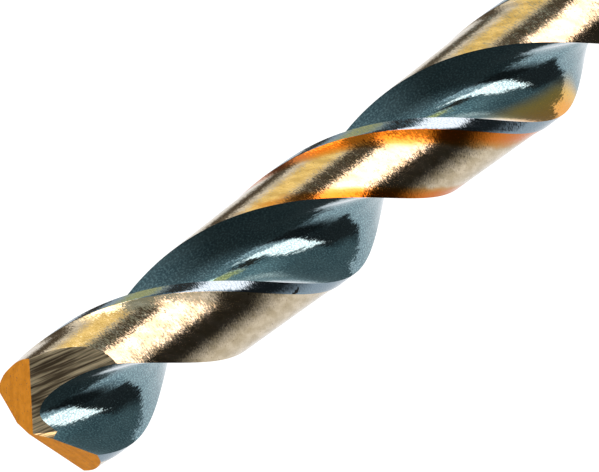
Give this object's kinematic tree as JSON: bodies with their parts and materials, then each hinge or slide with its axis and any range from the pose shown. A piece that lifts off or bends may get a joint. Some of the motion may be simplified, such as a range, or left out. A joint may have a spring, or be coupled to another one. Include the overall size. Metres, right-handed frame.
{
  "type": "twist drill bit",
  "caption": "Right-hand twist drill for metal with helical flutes, narrow margins, relieved lands, a split point and a plain round shank for a chuck.",
  "frame": {"origin": "centre of the flat end face of the shank", "axes": "+Z along the drill's axis from the shank end to the point; +X towards one cutting corner, as a section at the very tip would show it"},
  "size_m": [0.01, 0.01, 0.133],
  "materials": {
    "tool_steel": "ground high-speed steel, tempered bronze on the lands and shank and blue-black in the flutes"
  },
  "bodies": {
    "root": {"twist_drill": "tool_steel"}
  },
  "joints": []
}
